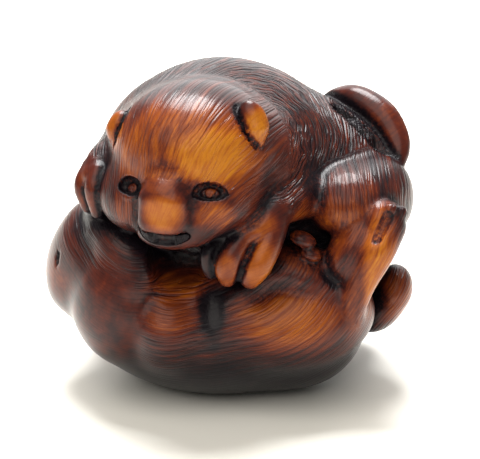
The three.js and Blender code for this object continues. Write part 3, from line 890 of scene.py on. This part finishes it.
def stain_and_shade_group():
    """Stain that is rubbed through to golden wood on the high spots, and black in the creases, where it is
    stain left in the wood and painted shade.
    """
    tree, given, result = group_of(
        "Rubbed stain and painted shade",
        [("Wear_and_painted_light", "NodeSocketFloat"), ("Buried", "NodeSocketFloat"), ("Streaks", "NodeSocketFloat"),
         ("Lines", "NodeSocketFloat"), ("Fur", "NodeSocketFloat"), ("Place", "NodeSocketVector")],
        [("Color", "NodeSocketColor"), ("Crease_shade_and_stain", "NodeSocketFloat"), ("Specks", "NodeSocketFloat")])
    specks = node_in(tree, "ShaderNodeTexNoise", {"Vector": given["Place"], "Scale": 2500, "Detail": 2,
                                                  "Roughness": 0.7}).outputs["Fac"]
    swing = maths(tree, "SUBTRACT", 1.3, maths(tree, "MULTIPLY", given["Wear_and_painted_light"], 0.7))
    off_middle = maths(tree, "SUBTRACT", given["Streaks"], 0.5)
    streaked = maths(tree, "MULTIPLY_ADD", off_middle, swing, given["Wear_and_painted_light"])
    lined = maths(tree, "MULTIPLY", given["Lines"], maths(tree, "MULTIPLY_ADD", given["Fur"], 0.32, 0.07))
    # Deeper in a crease is darker: painted shade, with the stain left there.
    crease_shade_and_stain = node_in(tree, "ShaderNodeMapRange", {"Value": given["Buried"], "From Min": 0.12,
                                                 "From Max": 0.75}).outputs["Result"]
    speckled_shade_and_stain = maths(tree, "MULTIPLY", maths(tree, "MULTIPLY", crease_shade_and_stain, 0.7),
                     maths(tree, "MULTIPLY_ADD", specks, 3.6, -0.8))
    darker = maths(tree, "SUBTRACT", maths(tree, "SUBTRACT", streaked, lined), speckled_shade_and_stain)
    tree.links.new(shade_ramp(tree, darker, STAIN_STOPS), result["Color"])
    tree.links.new(crease_shade_and_stain, result["Crease_shade_and_stain"])
    tree.links.new(maths(tree, "MULTIPLY", specks, crease_shade_and_stain), result["Specks"])
    return tree


def wood_material():
    material = bpy.data.materials.new("stained_boxwood")
    material.use_nodes = True
    tree = material.node_tree
    tree.nodes.clear()
    read = {name: node_in(tree, "ShaderNodeAttribute", attribute_name=name)
            for name in ("wear_and_painted_light", "buried", "fur", "hair")}
    strokes = node_in(tree, "ShaderNodeGroup", node_tree=strokes_group())
    place = node_in(tree, "ShaderNodeTexCoord")
    tree.links.new(read["hair"].outputs["Vector"], strokes.inputs["Hair"])
    tree.links.new(read["fur"].outputs["Fac"], strokes.inputs["Fur"])
    tree.links.new(place.outputs["Object"], strokes.inputs["Place"])
    # Its colour holds painted crease shade as well as the stain.
    stain = node_in(tree, "ShaderNodeGroup", node_tree=stain_and_shade_group())
    for label, name in (("Wear_and_painted_light", "wear_and_painted_light"), ("Buried", "buried"), ("Fur", "fur")):
        tree.links.new(read[name].outputs["Fac"], stain.inputs[label])
    for label in ("Streaks", "Lines"):
        tree.links.new(strokes.outputs[label], stain.inputs[label])
    tree.links.new(place.outputs["Object"], stain.inputs["Place"])
    cut_depth = maths(tree, "MULTIPLY", strokes.outputs["Lines"], read["fur"].outputs["Fac"])
    rough_ground = maths(tree, "MULTIPLY_ADD", stain.outputs["Specks"], 1.4, cut_depth)
    bump = node_in(tree, "ShaderNodeBump", {"Height": rough_ground, "Strength": 0.85, "Distance": 0.00017},
                   invert=True)
    roughness = node_in(tree, "ShaderNodeMapRange", {"Value": stain.outputs["Crease_shade_and_stain"], "To Min": 0.3,
                                                     "To Max": 0.5}).outputs["Result"]
    gloss = node_in(tree, "ShaderNodeMapRange", {"Value": stain.outputs["Crease_shade_and_stain"], "To Min": 0.25,
                                                 "To Max": 0.12}).outputs["Result"]
    shader = node_in(tree, "ShaderNodeBsdfPrincipled", {
        "Base Color": stain.outputs["Color"], "Roughness": roughness, "Normal": bump.outputs["Normal"],
        "Specular IOR Level": gloss, "Coat Weight": 0.09, "Coat Roughness": 0.11, "IOR": 1.42})
    output = tree.nodes.new("ShaderNodeOutputMaterial")
    tree.links.new(shader.outputs["BSDF"], output.inputs["Surface"])
    return material


# ---- the stage ----

CAMERA_TARGET = Vector((0.0011, 0, 0.0171))
CAMERA_DISTANCE = 0.24
CAMERA_LENS = 163.6


def paper_material():
    material = bpy.data.materials.new("pale_paper")
    material.use_nodes = True
    shader = material.node_tree.nodes["Principled BSDF"]
    shader.inputs["Base Color"].default_value = (0.9, 0.88, 0.82, 1)
    shader.inputs["Roughness"].default_value = 0.7
    return material


def area_light(name, at, aim, size, power, colour=(1, 1, 1)):
    data = bpy.data.lights.new(name, "AREA")
    data.shape = "DISK"
    data.size = size
    data.energy = power
    data.color = colour
    lamp = bpy.data.objects.new(name, data)
    bpy.context.collection.objects.link(lamp)
    lamp.location = at
    lamp.rotation_euler = (Vector(aim) - Vector(at)).to_track_quat("-Z", "Y").to_euler()
    return lamp


def set_stage():
    deselect_all()
    bpy.ops.mesh.primitive_plane_add(size=6, location=(0, 0, 0))
    floor = bpy.context.object
    floor.name = "floor"
    floor.data.materials.append(paper_material())
    world = bpy.data.worlds.new("studio")
    world.use_nodes = True
    world.node_tree.nodes["Background"].inputs["Color"].default_value = (1, 0.985, 0.95, 1)
    world.node_tree.nodes["Background"].inputs["Strength"].default_value = 0.28
    bpy.context.scene.world = world
    middle = (0, 0, 0.02)
    area_light("overhead", (-0.02, 0.12, 0.36), middle, 0.22, 3.3)
    area_light("front_left", (-0.12, -0.28, 0.4), middle, 0.6, 2.1, (1, 0.96, 0.88))
    area_light("behind", (0.02, 0.45, 0.34), middle, 0.7, 2.4)


def set_camera():
    data = bpy.data.cameras.new("camera")
    data.lens = CAMERA_LENS
    data.sensor_width = 36
    data.clip_start = 0.01
    camera = bpy.data.objects.new("camera", data)
    bpy.context.collection.objects.link(camera)
    camera.location = CAMERA_TARGET - Vector(INTO_VIEW) * CAMERA_DISTANCE
    camera.rotation_euler = Vector(INTO_VIEW).to_track_quat("-Z", "Y").to_euler()
    bpy.context.scene.camera = camera


carve_puppies(wood_material())
set_stage()
set_camera()
bpy.context.scene.view_settings.view_transform = "Standard"
